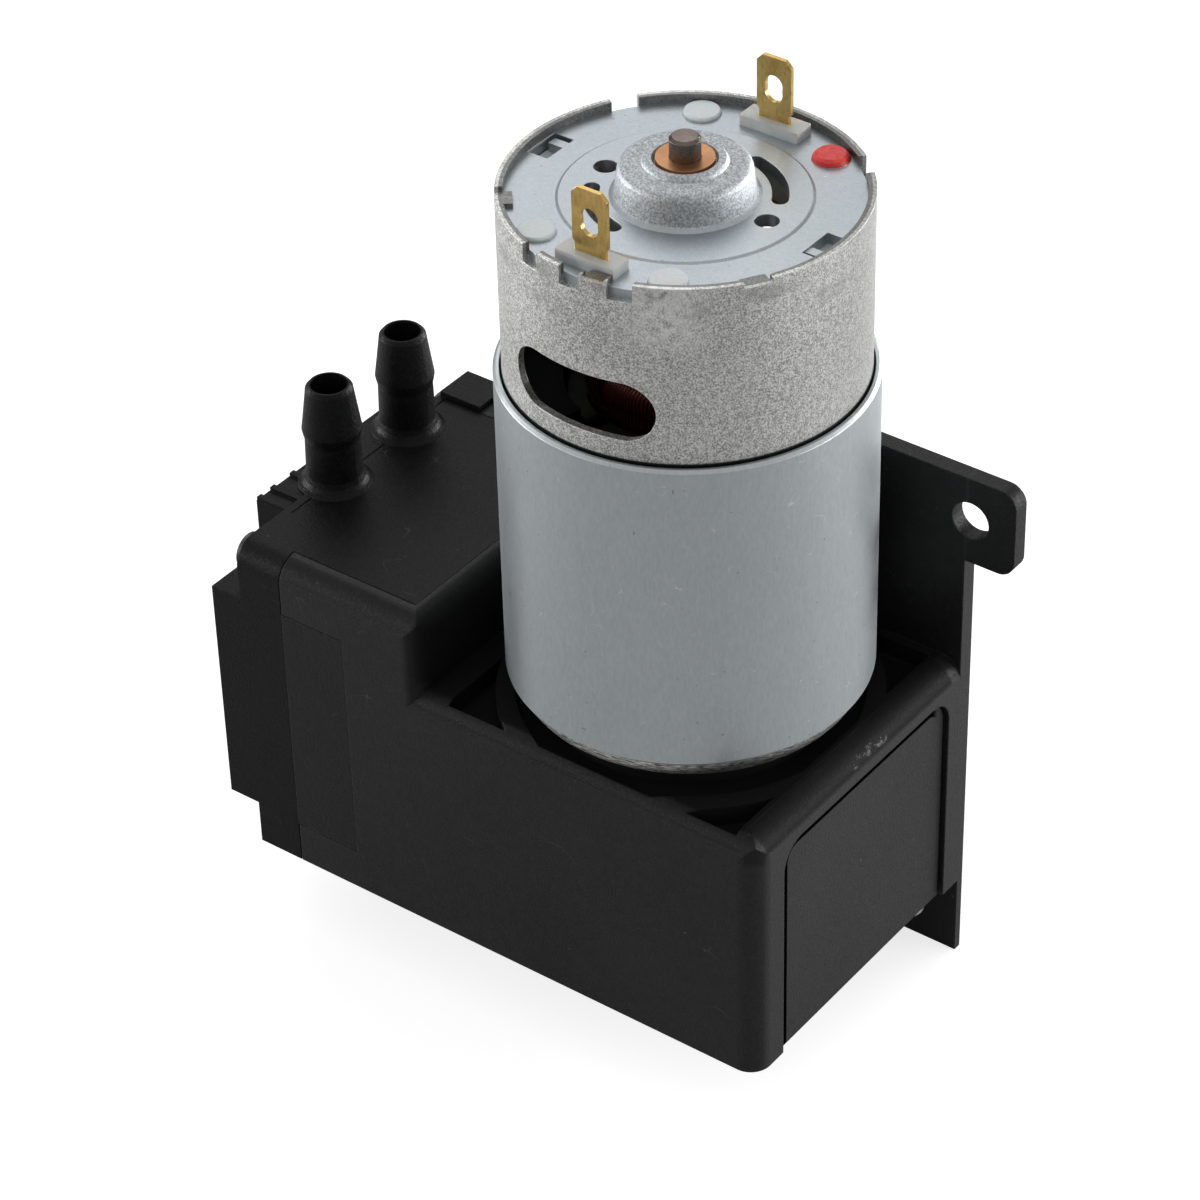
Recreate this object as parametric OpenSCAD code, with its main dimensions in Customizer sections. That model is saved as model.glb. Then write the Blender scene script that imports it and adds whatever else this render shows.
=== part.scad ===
// Mini vacuum pump: a motor standing on a moulded diaphragm pump.
// Millimetres. The back of the mounting plate is Y = 0 and the body stands on Z = 0.
// X = 0 is the motor's axis; the pump head is at the -X end and the body lies toward -Y.

/* [Body] */
// Length of the body between its two end faces
body_len = 68; // [66:0.5:72]
// Front face to the back of the mounting plate
body_w = 40; // [40:0.5:44]
// Height of the deck that the motor stands on
deck_h = 31.5; // [31.5:0.5:34]
// Height of the pump head
head_h = 41; // [40.5:0.5:44]
// Length of the tall block at the head end
head_len = 24.6; // [24:0.2:26]
// Radius of the rounded body edges
edge_r = 2.5; // [1.5:0.25:2.75]
// Outer wall of the moulding
wall = 2.6; // [2.2:0.2:3]
// Gap that shows as a seam between two mouldings
seam = 0.12; // [0.08:0.02:0.2]

/* [Mounting plate] */
// Thickness of the plate above the body's foot
plate_t = 2; // [1.6:0.2:2.4]
// Thickness of the strip below the foot
strip_t = 1; // [0.8:0.1:1.4]
// How far the strip hangs below the foot
strip_drop = 10.2; // [9:0.2:14]
// Top of the plate and of its ear
plate_h = 55.3; // [54:0.4:60]
// How far the ear stands out past the end face
ear_out = 6; // [5:0.2:9]
// Height of the ear
ear_h = 10.5; // [9:0.5:13]
// Diameter of both mounting holes
mount_hole_d = 4.5; // [3.5:0.1:5]

/* [Head] */
// Thickness of the head cover
cover_t = 5.8; // [5.2:0.2:6.4]
// How far the cross on the head cover stands out
cross_out = 4; // [3:0.2:6]
// Thickness of the valve body
valve_t = 8.4; // [8:0.2:8.8]
// Distance between the two hose barbs
barb_pitch = 12.6; // [11.6:0.1:13]
// Height of a barb above the head
barb_h = 12.6; // [10:0.2:18]
// Diameter of the barb's ridge
barb_d = 6.6; // [6.2:0.1:7.2]
// Bore of a barb
barb_bore_d = 4.1; // [3.5:0.1:4.3]

/* [Drive] */
// Offset of the crank pin, half the diaphragm's stroke
throw = 1.5; // [1:0.1:1.6]
// Diameter of the crank pin
pin_d = 8; // [7.6:0.1:8.4]
// Outer diameter of the rod bearing
bearing_d = 16; // [15.6:0.1:17]
// Width of the rod bearing
bearing_w = 5; // [4.6:0.1:5.4]
// Diameter of the diaphragm
diaphragm_d = 27.2; // [26.4:0.2:28]

/* [Motor] */
// Outer diameter of the motor can
can_d = 37.2; // [36.8:0.1:37.6]
// Thickness of the flux ring round the can
ring_t = 0.9; // [0.7:0.05:1]
// Distance from the motor's axis to the closed end of the body
motor_inset = 21.2; // [20.8:0.2:22.4]
// Length of the can from its mounting face to its rim
can_len = 59.5; // [59:0.5:64]
// Diameter of the shaft
shaft_d = 3.175; // [3:0.025:3.3]
// Poles on the armature
poles = 5; // [3:1:7]
// Top of the terminals above the body's foot
total_h = 100; // [99:0.5:106]

/* [Hidden] */
$fn = 64;
over = 1;

// Places along the body, from its left end face
ring_r = can_d / 2 + ring_t;
ring_gap = 0.25;
motor_x = body_len - motor_inset;
motor_y = body_w - plate_t - ring_r - ring_gap;
diaphragm_x = cover_t + valve_t;
rim_t = 1.4;
clamp_x = diaphragm_x + rim_t;
clamp_t = wall;
chamber_x = clamp_x + clamp_t;
end_x = body_len - wall;
rod_z = 19.7;

// Heights
foot_t = 2;
floor_t = 3.3;
chamber_top = deck_h - floor_t;
seat_h = 1.8;
seat_r = 15.4;
can_z = deck_h + seat_h;
rim_z = can_z + can_len;
plate_z = rim_z - 1;
end_plate_t = 1.2;

// Head
valve_z0 = 5;
valve_z1 = head_h - 6.6;
top_edge_r = edge_r + 0.3;
top_plate_t = 2.4;
top_plate_x1 = head_len - 2.2;
valve_y1 = body_w - 4.4;
rim_y = body_w - 5;
top_plate_y1 = rim_y;
back_rim_t = 0.7;
line = 0.15;
close_fit = 0.02;
cross_step = 0.4;
cross_rib = 0.4;
cross_y0 = 8.2;
cross_y1 = body_w - 5.1;
cross_z0 = 5.5;
cross_z1 = head_h - 7;
barb_x = 1;
barb_mid = motor_y + 3.75;
barb_y = [barb_mid - barb_pitch / 2, barb_mid + barb_pitch / 2];
barb_neck_d = barb_d - 0.3;
barb_tip_d = barb_d - 1.4;
head_screw_y = [4.1, body_w - 2.7];
head_screw_z = [3.3, head_h - 3.7];
chamber_z0 = rod_z - 6.7;
chamber_z1 = rod_z + 9.3;
chamber_set = 1.4;
chamber_rib = 1.2;
chamber_y = [[barb_y[0] - 5.6, motor_y - chamber_rib / 2], [motor_y + chamber_rib / 2, barb_y[1] + 2.8]];
gasket_t = 0.6;
gasket_y0 = chamber_y[0][0] - 2;
gasket_y1 = chamber_y[1][1] + 2;
gasket_z0 = chamber_z0 - 2.5;
gasket_z1 = chamber_z1 + 2.5;
screw_r = 1.2;
head_bite = 7;
cover_bite = 9;
screw_head_r = 2.1;
screw_head_t = 1.9;
port_gap = 4.6;
valve_r = 3.6;
valve_thick = 0.6;
stem_r = 0.8;
recess_r = 9.5;
recess_t = 1.7;

// Linkage
rim_r = diaphragm_d / 2;
mouth_r = rim_r - 3.2;
hub_r = 6.5;
hub_t = 1.8;
hub_x = diaphragm_x + hub_t;
retainer_r = 6;
retainer_t = 1.2;
rod_disc_t = 2.2;
bearing_r = bearing_d / 2;
rod_ring_r = bearing_r + 3.2;
rod_ring_h = bearing_w;
pin_x = motor_x - throw;
bearing_z0 = rod_z - bearing_w / 2;
pitch_r = (pin_d + bearing_d) / 4;
ball_r = 1;
ball_gap = 0.05;
ball_count = 7;
race_t = (bearing_d - pin_d) / 4 - 0.9;
hub_z0 = bearing_z0 + bearing_w + 0.4;
hub_z1 = hub_z0 + 5;
clip_t = 0.7;
weight_r = 9.3;
weight_t = 4;

// Motor
can_r = can_d / 2;
can_wall = 0.8;
can_in_r = can_r - can_wall;
can_floor = 1.4;
ring_z0 = can_z + 2.6;
ring_z1 = rim_z - 20.2;
window_angle = 53;
window_h = 6.6;
window_drop = 14.5;
boss_r = 6.5;
boss_drop = 4.2;
bush_r = 2.95;
running_gap = 0.02;
shaft_r = shaft_d / 2;
shaft_z0 = bearing_z0 - 1.1;
shaft_z1 = rim_z + 5.7;
boss_top = plate_z + 4.3;
step_z = boss_top - 0.5;
shoulder_r = 0.95;
shoulder_r0 = 5.75;
motor_screw_r = 12.5;
block_w = 6.9;
block_t = 2.5;
block_top = plate_z + 1.2;
stake_x = 7.8;
stake_y = 13.7;
terminal_y = 15.25;
terminal_w = 4.1;
terminal_t = 0.5;
terminal_hole_r = 1.05;
magnet_in_r = 12.5;
magnet_z0 = can_z + 6;
magnet_len = 32;
core_r = 12;
core_z0 = can_z + 10;
core_len = 26;
coil_h = 7;
commutator_r = 4;
commutator_z0 = plate_z - 12.3;
commutator_len = 9;
brush_z = plate_z - 7.3;
brush_h = 3;
brush_gap = 0.03;
holder_z0 = plate_z - 4.7;

// Moves a shape drawn from the body's front left corner into the part's frame
module at_corner() {
    translate([-motor_x, -body_w, 0]) children();
}

// Moves a shape drawn round the motor's axis into the part's frame
module at_motor() {
    translate([0, motor_y - body_w, 0]) children();
}

// Lays a flat shape drawn as (y, z) into the plane x, with its thickness toward +X
module along_x(x, t) {
    translate([x, 0, 0]) rotate([90, 0, 90]) linear_extrude(t) children();
}

// Lays a flat shape drawn as (x, z) so that it runs from y to y + t
module along_y(y, t) {
    translate([0, y + t, 0]) rotate([90, 0, 0]) linear_extrude(t) children();
}

// A round bar along X
module bar_x(x, y, z, r, t) {
    translate([x, y, z]) rotate([0, 90, 0]) cylinder(r = r, h = t);
}

// What a rounded corner leaves outside its arc, in the (+, +) quadrant
module nib(r) {
    difference() {
        square(r + over);
        circle(r);
    }
}

module rounded(w, h, r) {
    translate([r, 0]) square([w - 2 * r, h]);
    translate([0, r]) square([w, h - 2 * r]);
    for (x = [r, w - r]) {
        for (y = [r, h - r]) {
            translate([x, y]) circle(r);
        }
    }
}

// Section of the body across its length, rounded at the top front edge
module body_section(h, r) {
    difference() {
        square([body_w, h]);
        translate([r, h - r]) mirror([1, 0]) nib(r);
    }
}

// A flat sector, with its point at the axis
module sector(r, half_angle) {
    polygon([[0, 0], r * [cos(half_angle), -sin(half_angle)],
        r * [1.2, -sin(half_angle)], r * [1.2, sin(half_angle)],
        r * [cos(half_angle), sin(half_angle)]]);
}

module low_block() {
    intersection() {
        along_x(cover_t + seam, body_len - cover_t - seam) body_section(deck_h, edge_r);
        linear_extrude(deck_h) difference() {
            square([body_len, body_w]);
            translate([body_len - edge_r, edge_r]) mirror([0, 1]) nib(edge_r);
        }
        along_y(0, body_w) difference() {
            square([body_len, deck_h]);
            translate([body_len - edge_r, deck_h - edge_r]) nib(edge_r);
        }
    }
}

module tall_block() {
    corner_r = edge_r - 0.3;
    intersection() {
        along_x(cover_t + seam, head_len - cover_t - seam) body_section(head_h, top_edge_r);
        linear_extrude(head_h) difference() {
            square([head_len, body_w]);
            translate([head_len - corner_r, corner_r]) mirror([0, 1]) nib(corner_r);
        }
        along_y(0, body_w) difference() {
            square([head_len, head_h]);
            translate([head_len - corner_r, head_h - corner_r]) nib(corner_r);
        }
    }
}

// Outline of the mounting plate with its ear, drawn as (x, z)
module plate_outline() {
    step_x = head_len + 6;
    x0 = cover_t + seam;
    difference() {
        union() {
            translate([x0, 0]) square([body_len - x0, head_h + back_rim_t]);
            polygon([[step_x - 9, head_h], [step_x, plate_h], [body_len, plate_h], [body_len, head_h]]);
            translate([body_len - 6, plate_h - ear_h]) rounded(ear_out + 6, ear_h, 2);
        }
        translate([body_len + 0.5, plate_h - ear_h / 2]) circle(d = mount_hole_d);
    }
}

module mounting_plate() {
    x0 = cover_t + seam;
    along_y(body_w - plate_t, plate_t) plate_outline();
    along_y(body_w - strip_t, strip_t) difference() {
        translate([x0, -strip_drop]) square([body_len - x0, strip_drop + over]);
        translate([12, -strip_drop / 2]) circle(d = mount_hole_d);
    }
}

// Raised round seat that the motor stands on
module motor_seat() {
    translate([motor_x, motor_y, chamber_top]) cylinder(r = seat_r, h = floor_t + seat_h);
}

// Sunk corners of the deck, outside the round seat
module deck_pockets() {
    pocket_t = 2.3;
    well_t = 1;
    inset = 1.1;
    seat_rim_r = 20.7;
    x0 = head_len + 3;
    x1 = body_len - 3.3;
    translate([0, 0, deck_h - pocket_t]) linear_extrude(pocket_t + over) difference() {
        translate([x0, inset]) square([x1 - x0, body_w - plate_t - inset - 1]);
        translate([motor_x, motor_y]) circle(seat_rim_r);
    }
    // Shallow well round the foot of the motor
    translate([0, 0, deck_h - well_t]) linear_extrude(well_t + over) intersection() {
        translate([0, inset]) square([x1, body_w - plate_t - inset - 1]);
        translate([motor_x, motor_y]) difference() {
            circle(18.6);
            circle(seat_r);
        }
    }
}

cover_screw_inset = 2.7;
chamber_y1 = body_w - plate_t - 1.4;
cover_screw_y = [wall + cover_screw_inset, chamber_y1 - cover_screw_inset];
cover_screw_x = [chamber_x + 3.7, body_len - 3.8];
cover_screw_at = [for (x = cover_screw_x, y = cover_screw_y) [x, y]];
cover_boss_r = 3.2;

module crank_chamber() {
    difference() {
        translate([chamber_x, wall, -over]) cube([end_x - chamber_x, chamber_y1 - wall, chamber_top + over]);
        cover_bosses();
    }
}

module cover_bosses() {
    for (p = cover_screw_at) {
        translate([p[0], p[1], foot_t]) cylinder(r = cover_boss_r, h = chamber_top);
    }
}

panel_y0 = 5.2;
panel_y1 = body_w - 4.2;
panel_h = deck_h - 3.7;
panel_r = 3;
panel_set_back = 0.6;
panel_t = 1.5;
panel_gap = 0.25;
panel_in_x = body_len - panel_set_back - panel_t;

// The cover's upturned end, drawn as (y, z) and grown by a clearance g
module panel_shape(g) {
    difference() {
        translate([panel_y0 - g, 0]) square([panel_y1 - panel_y0 + 2 * g, panel_h + g]);
        translate([panel_y0 + panel_r, panel_h - panel_r]) mirror([1, 0]) nib(panel_r + g);
        translate([panel_y1 - panel_r, panel_h - panel_r]) nib(panel_r + g);
    }
}

module panel_opening() {
    panel_shape(panel_gap);
    translate([panel_y0 - panel_gap, -over]) square([panel_y1 - panel_y0 + 2 * panel_gap, 2 * over]);
}

module pump_case() {
    color("#26272a") at_corner() difference() {
        union() {
            low_block();
            tall_block();
            mounting_plate();
            motor_seat();
        }
        deck_pockets();
        crank_chamber();
        // Opening in the end wall, which the cover's upturned end fills
        along_x(panel_in_x - seam, wall + over) panel_opening();
        difference() {
            along_x(end_x - over, 2 * over) panel_opening();
            cover_bosses();
        }
        // Pocket of the valve body, open at the front
        translate([cover_t, -over, valve_z0])
            cube([valve_t, over + valve_y1, valve_z1 - valve_z0]);
        // Seat and mouth of the diaphragm
        bar_x(diaphragm_x - 0.01, motor_y, rod_z, rim_r, rim_t + 0.01);
        bar_x(clamp_x - over, motor_y, rod_z, mouth_r, clamp_t + 2 * over);
        // Pocket of the head's top plate
        translate([cover_t, top_edge_r, head_h - top_plate_t])
            cube([top_plate_x1 - cover_t + close_fit, top_plate_y1 - top_edge_r, top_plate_t + over]);
        // Motor boss and screws
        translate([motor_x, motor_y, 0]) {
            translate([0, 0, chamber_top - over]) cylinder(r = boss_r, h = floor_t + seat_h + 2 * over);
            for (s = [-1, 1]) {
                translate([s * motor_screw_r, 0, chamber_top - over])
                    cylinder(r = 1.5, h = floor_t + seat_h + 2 * over);
            }
        }
        for (y = head_screw_y) {
            for (z = head_screw_z) {
                bar_x(cover_t, y, z, screw_r, head_bite);
            }
        }
        for (p = cover_screw_at) {
            translate([p[0], p[1], 0]) cylinder(r = screw_r, h = cover_bite);
        }
    }
}

module bottom_cover() {
    color("#2a2b2e") at_corner() difference() {
        union() {
            translate([chamber_x + seam, wall + seam, 0])
                cube([end_x - chamber_x - 2 * seam, chamber_y1 - wall - 2 * seam, foot_t]);
            translate([end_x - over, panel_y0, 0])
                cube([panel_in_x + panel_t - end_x + over, panel_y1 - panel_y0, foot_t]);
            along_x(panel_in_x, panel_t) panel_shape(0);
        }
        for (p = cover_screw_at) {
            translate([p[0], p[1], -over]) cylinder(r = screw_r, h = foot_t + 2 * over);
        }
    }
}

module bottom_cover_screws() {
    color("#c9ccd0") at_corner() for (p = cover_screw_at) {
        translate([p[0], p[1], 0]) {
            cylinder(r = screw_r, h = cover_bite);
            translate([0, 0, -1.7]) difference() {
                cylinder(r = 2.4, h = 1.7);
                translate([-0.35, -1.6, -over]) cube([0.7, 3.2, over + 0.7]);
                translate([-1.6, -0.35, -over]) cube([3.2, 0.7, over + 0.7]);
            }
        }
    }
}

// One hose barb, standing on z = 0
module barb() {
    ridge = barb_h - 5.5;
    foot_r = barb_neck_d / 2;
    rotate_extrude() polygon([[0, -over], [foot_r + 1, -over], [foot_r + 1, 0], [foot_r + 0.55, 0.35],
        [foot_r + 0.2, 0.8], [foot_r, 1.5], [foot_r - 0.1, ridge - 1.2], [barb_d / 2 - 0.05, ridge - 0.3],
        [barb_d / 2, ridge], [barb_tip_d / 2, barb_h - 0.4], [barb_tip_d / 2 - 0.35, barb_h], [0, barb_h]]);
}

module head_cover() {
    chamber_h = chamber_z1 - chamber_z0;
    chamber_t = cover_t + chamber_set;
    color("#242528") at_corner() difference() {
        union() {
            difference() {
                cover_block();
                // Parting lines on top
                translate([1, cross_y0, head_h - line]) cube([line, rim_y - cross_y0, line + over]);
                translate([1, rim_y - line, head_h - line]) cube([cover_t - 1, line, line + over]);
            }
            for (y = barb_y) {
                translate([barb_x, y, head_h]) barb();
            }
        }
        for (y = barb_y) {
            translate([barb_x, y, chamber_z1 - over])
                cylinder(d = barb_bore_d, h = head_h + barb_h - chamber_z1 + 2 * over);
        }
        // Inlet and outlet chambers behind the ports
        for (y = chamber_y) {
            translate([-chamber_set, y[0], chamber_z0]) cube([chamber_t + over, y[1] - y[0], chamber_h]);
        }
        translate([cover_t - gasket_t, gasket_y0, gasket_z0])
            cube([gasket_t + over, gasket_y1 - gasket_y0, gasket_z1 - gasket_z0]);
        for (y = head_screw_y) {
            for (z = head_screw_z) {
                bar_x(-over, y, z, screw_r, cover_t + 2 * over);
            }
        }
    }
}

// Block, cross and top plate of the head cover
module cover_block() {
    rib = [0.7, over + cross_rib];
    along_x(0, cover_t) body_section(head_h, top_edge_r);
    along_x(-cross_out, cross_out) {
        translate([0, cross_z0]) square([body_w, cross_z1 - cross_z0]);
        translate([cross_y0, cross_step]) square([cross_y1 - cross_y0, head_h - 2 * cross_step]);
        // Low ribs on top of the cross
        for (y = [0.1, 2.3, 5.6]) {
            translate([cross_y0 + y, head_h - cross_step - over]) square(rib);
        }
    }
    // Raised rim at the back, in line with the mounting plate
    translate([0.3, rim_y, head_h - over]) cube([cover_t - 0.3, body_w - rim_y, over + back_rim_t]);
    translate([cover_t - over, top_edge_r + seam, head_h - top_plate_t])
        cube([top_plate_x1 - cover_t + over, top_plate_y1 - top_edge_r - 2 * seam, top_plate_t]);
}

module head_gasket() {
    color("#1a1a1b") at_corner() difference() {
        translate([cover_t - gasket_t, gasket_y0, gasket_z0])
            cube([gasket_t, gasket_y1 - gasket_y0, gasket_z1 - gasket_z0]);
        for (y = chamber_y) {
            translate([0, y[0], chamber_z0]) cube([body_len, y[1] - y[0], chamber_z1 - chamber_z0]);
        }
    }
}

module head_screws() {
    color("#b9bcc1") at_corner() for (y = head_screw_y) {
        for (z = head_screw_z) {
            bar_x(0, y, z, screw_r, cover_t + head_bite);
            difference() {
                bar_x(-screw_head_t, y, z, screw_head_r, screw_head_t);
                translate([-screw_head_t - over, y - 0.35, z - 1.5]) cube([over + 0.8, 0.7, 3]);
                translate([-screw_head_t - over, y - 1.5, z - 0.35]) cube([over + 0.8, 3, 0.7]);
            }
        }
    }
}

// Feed holes round a valve's stem
module port_holes(y) {
    for (a = [0:60:300]) {
        bar_x(cover_t - over, y + 2.1 * cos(a), rod_z + 2.1 * sin(a), 0.65, valve_t + 2 * over);
    }
    bar_x(cover_t - over, y, rod_z, stem_r, valve_t + 2 * over);
}

module valve_body() {
    color("#1f2023") at_corner() difference() {
        translate([cover_t, 0, valve_z0 + seam])
            cube([valve_t, valve_y1, valve_z1 - valve_z0 - 2 * seam]);
        bar_x(diaphragm_x - recess_t, motor_y, rod_z, recess_r, recess_t + over);
        // Valve seats: the inlet opens into the pump chamber, the outlet into the head
        bar_x(diaphragm_x - recess_t - 0.9, motor_y - port_gap, rod_z, valve_r + 0.5, recess_t);
        bar_x(cover_t - over, motor_y + port_gap, rod_z, valve_r + 0.5, over + 0.9);
        port_holes(motor_y - port_gap);
        port_holes(motor_y + port_gap);
    }
}

// A rubber umbrella valve, its disc on x = 0 and its stem toward -X
module umbrella(stem) {
    rotate([0, 90, 0]) cylinder(r = valve_r, h = valve_thick);
    rotate([0, -90, 0]) cylinder(r = stem_r, h = stem);
}

module inlet_valve() {
    color("#8c2f22") at_corner()
        translate([diaphragm_x - recess_t - 0.9, motor_y - port_gap, rod_z])
            umbrella(valve_t - recess_t - 0.9);
}

module outlet_valve() {
    color("#8c2f22") at_corner()
        translate([cover_t + 0.9, motor_y + port_gap, rod_z]) mirror([1, 0, 0])
            umbrella(valve_t - recess_t - 0.9);
}

// Section of the diaphragm, turned round X: radius first, then x
module diaphragm() {
    web = 0.9;
    color("#1b1b1c") at_corner() translate([diaphragm_x, motor_y, rod_z]) rotate([0, 90, 0]) difference() {
        rotate_extrude() union() {
            square([hub_r, hub_t]);
            translate([mouth_r - 0.2, 0]) square([rim_r - mouth_r + 0.2, rim_t]);
            translate([hub_r - 0.1, 0.2]) square([mouth_r - hub_r + 0.2, web]);
            intersection() {
                translate([(hub_r + mouth_r) / 2, 0.2]) difference() {
                    circle(1.9);
                    circle(1);
                }
                translate([0, 0.2]) square([rim_r, 3]);
            }
        }
        translate([0, 0, -over]) cylinder(r = 1.25, h = hub_t + 2 * over);
    }
}

module diaphragm_retainer() {
    color("#b9bcc1") at_corner() translate([diaphragm_x - retainer_t, motor_y, rod_z]) rotate([0, 90, 0])
        difference() {
            cylinder(r = retainer_r, h = retainer_t);
            translate([0, 0, -over]) cylinder(r = 1.25, h = retainer_t + 2 * over);
            translate([0, 0, -0.01]) cylinder(r1 = 2.4, r2 = 1.25, h = 1);
        }
}

module diaphragm_screw() {
    color("#9fa3a8") at_corner() translate([diaphragm_x - retainer_t, motor_y, rod_z]) rotate([0, 90, 0])
        difference() {
            union() {
                cylinder(r = 1.25, h = retainer_t + hub_t + 6);
                translate([0, 0, 0.02]) cylinder(r1 = 2.36, r2 = 1.25, h = 0.96);
            }
            translate([-0.3, -1.5, -over]) cube([0.6, 3, over + 0.5]);
            translate([-1.5, -0.3, -over]) cube([3, 0.6, over + 0.5]);
        }
}

module connecting_rod() {
    arm_w = 6;
    color("#d9d6cb") at_corner() difference() {
        union() {
            translate([pin_x, motor_y, rod_z - rod_ring_h / 2]) cylinder(r = rod_ring_r, h = rod_ring_h);
            bar_x(hub_x, motor_y, rod_z, hub_r, rod_disc_t);
            translate([hub_x, motor_y - arm_w / 2, rod_z - 1]) cube([pin_x - hub_x - 9, arm_w, 2]);
            translate([hub_x, motor_y - 1, rod_z - 2.5]) cube([pin_x - hub_x - 9, 2, 5]);
            bar_x(hub_x, motor_y, rod_z, 2.5, 8);
            for (s = [-1, 1]) {
                translate([hub_x, motor_y + s * (arm_w / 2 - 0.6) - 0.6, rod_z - 2])
                    cube([pin_x - hub_x - 8, 1.2, 4]);
            }
        }
        translate([pin_x, motor_y, 0]) cylinder(r = bearing_r, h = rod_z + rod_ring_h);
        bar_x(hub_x - over, motor_y, rod_z, 1.25, over + 6);
    }
}

module race_profile(r0, r1) {
    difference() {
        translate([r0, bearing_z0]) square([r1 - r0, bearing_w]);
        translate([pitch_r, rod_z]) circle(ball_r + ball_gap);
    }
}

module bearing_outer_race() {
    color("#c2c6cc") at_corner() translate([pin_x, motor_y, 0])
        rotate_extrude() race_profile(bearing_r - race_t, bearing_r);
}

module bearing_inner_race() {
    color("#c2c6cc") at_corner() translate([pin_x, motor_y, 0])
        rotate_extrude() race_profile(pin_d / 2, pin_d / 2 + race_t);
}

module bearing_cage() {
    color("#b08d4a") at_corner() translate([pin_x, motor_y, rod_z]) difference() {
        translate([0, 0, -1.4]) cylinder(r = pitch_r + 0.4, h = 2.8);
        translate([0, 0, -2]) cylinder(r = pitch_r - 0.4, h = 4);
        for (i = [0:ball_count - 1]) {
            rotate(i * 360 / ball_count) bar_x(pitch_r - 1, 0, 0, ball_r + ball_gap, 2);
        }
    }
}

module bearing_balls() {
    color("#d5d8dc") at_corner() translate([pin_x, motor_y, rod_z]) for (i = [0:ball_count - 1]) {
        rotate(i * 360 / ball_count) translate([pitch_r, 0, 0]) sphere(ball_r);
    }
}

module bearing_clip() {
    groove_r = pin_d / 2 - 0.4;
    color("#6d7075") at_corner() translate([pin_x, motor_y, bearing_z0 - clip_t]) difference() {
        cylinder(r = pin_d / 2 + 0.8, h = clip_t);
        translate([0, 0, -over]) cylinder(r = groove_r, h = clip_t + 2 * over);
        translate([0, -1.5, -over]) cube([pin_d, 3, clip_t + 2 * over]);
    }
}

module eccentric() {
    groove_r = pin_d / 2 - 0.4;
    color("#b5a46a") at_corner() difference() {
        union() {
            translate([pin_x, motor_y, bearing_z0]) cylinder(r = pin_d / 2, h = bearing_w);
            translate([pin_x, motor_y, bearing_z0 - clip_t]) cylinder(r = groove_r, h = clip_t);
            translate([pin_x, motor_y, bearing_z0 - 1.1]) cylinder(r = pin_d / 2, h = 1.1 - clip_t);
            translate([pin_x, motor_y, bearing_z0 + bearing_w]) cylinder(r = pin_d / 2 + 0.7, h = 0.4);
            translate([motor_x, motor_y, hub_z0]) cylinder(r = 6, h = hub_z1 - hub_z0);
            translate([motor_x, motor_y, hub_z0]) linear_extrude(weight_t) intersection() {
                circle(weight_r);
                sector(weight_r * 1.1, 70);
            }
        }
        translate([motor_x, motor_y, 0]) cylinder(r = shaft_r, h = hub_z1 + over);
        bar_x(motor_x - 6 - over, motor_y, hub_z1 - 2.3, 1.25, 6 + over);
    }
}

module eccentric_set_screw() {
    color("#55585d") at_corner() difference() {
        bar_x(motor_x - 5.6, motor_y, hub_z1 - 2.3, 1.25, 5.6 - shaft_r - 0.02);
        bar_x(motor_x - 5.6 - over, motor_y, hub_z1 - 2.3, 0.65, over + 1.4);
    }
}

module motor_screws() {
    color("#c9ccd0") at_corner() translate([motor_x, motor_y, 0]) for (s = [-1, 1]) {
        translate([s * motor_screw_r, 0, chamber_top]) {
            cylinder(r = 1.5, h = floor_t + seat_h + can_floor + 1.2);
            translate([0, 0, -1.8]) difference() {
                cylinder(r = 2.7, h = 1.8);
                translate([-0.4, -1.7, -over]) cube([0.8, 3.4, over + 0.8]);
                translate([-1.7, -0.4, -over]) cube([3.4, 0.8, over + 0.8]);
            }
        }
    }
}

// Notches round the can's rim, as angle, width and depth
rim_notches = [[-107.5, 2.2, 2], [-90.8, 2.4, 2], [-74, 2.6, 2], [48, 3.2, 2], [145.5, 2.9, 2.2],
    [-32.5, 2.9, 0.5], [-82.4, 2.4, 0.4], [-141, 2.6, 0.5], [98, 2.4, 0.4]];
// Tongues of the rim that are bent in over the end plate, as angle and width
rim_tongues = [[-32.5, 2.6], [-82.4, 2.2], [-141, 2.3], [98, 2.2]];

// Long rounded window through the can, facing -Y or +Y
module can_window() {
    half = can_r * sin(window_angle / 2);
    r = window_h / 2;
    translate([0, 0, rim_z - window_drop]) rotate([90, 0, 0]) linear_extrude(can_r + over) {
        translate([-half + r, -r]) square([2 * (half - r), 2 * r]);
        for (s = [-1, 1]) {
            translate([s * (half - r), 0]) circle(r);
        }
    }
}

module motor_can() {
    corner = 2.2;
    color("#b9bcbe") at_motor() difference() {
        union() {
            rotate_extrude() union() {
                translate([0, can_z]) square([can_r - corner, corner]);
                translate([0, can_z + corner]) square([can_r, can_len - corner]);
                translate([can_r - corner, can_z + corner]) circle(corner);
            }
            translate([0, 0, can_z - boss_drop]) cylinder(r = boss_r, h = boss_drop + can_floor);
        }
        difference() {
            translate([0, 0, can_z + can_floor]) cylinder(r = can_in_r, h = can_len);
            for (n = rim_tongues) {
                rotate(n[0]) translate([can_in_r - 1, -n[1] / 2, plate_z]) cube([can_wall + 0.6, n[1], 0.6]);
            }
        }
        translate([0, 0, can_z - boss_drop - over]) cylinder(r = 3.2, h = boss_drop + 3 * over);
        translate([0, 0, can_z - boss_drop + 1]) cylinder(r = 4, h = boss_drop + over);
        can_window();
        rotate(180) can_window();
        for (n = rim_notches) {
            rotate(n[0]) translate([can_in_r - over, -n[1] / 2, rim_z - n[2]]) cube([4, n[1], n[2] + over]);
        }
        for (s = [-1, 1]) {
            translate([s * motor_screw_r, 0, can_z - over]) cylinder(r = 1.5, h = can_floor + 2 * over);
        }
    }
}

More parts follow.
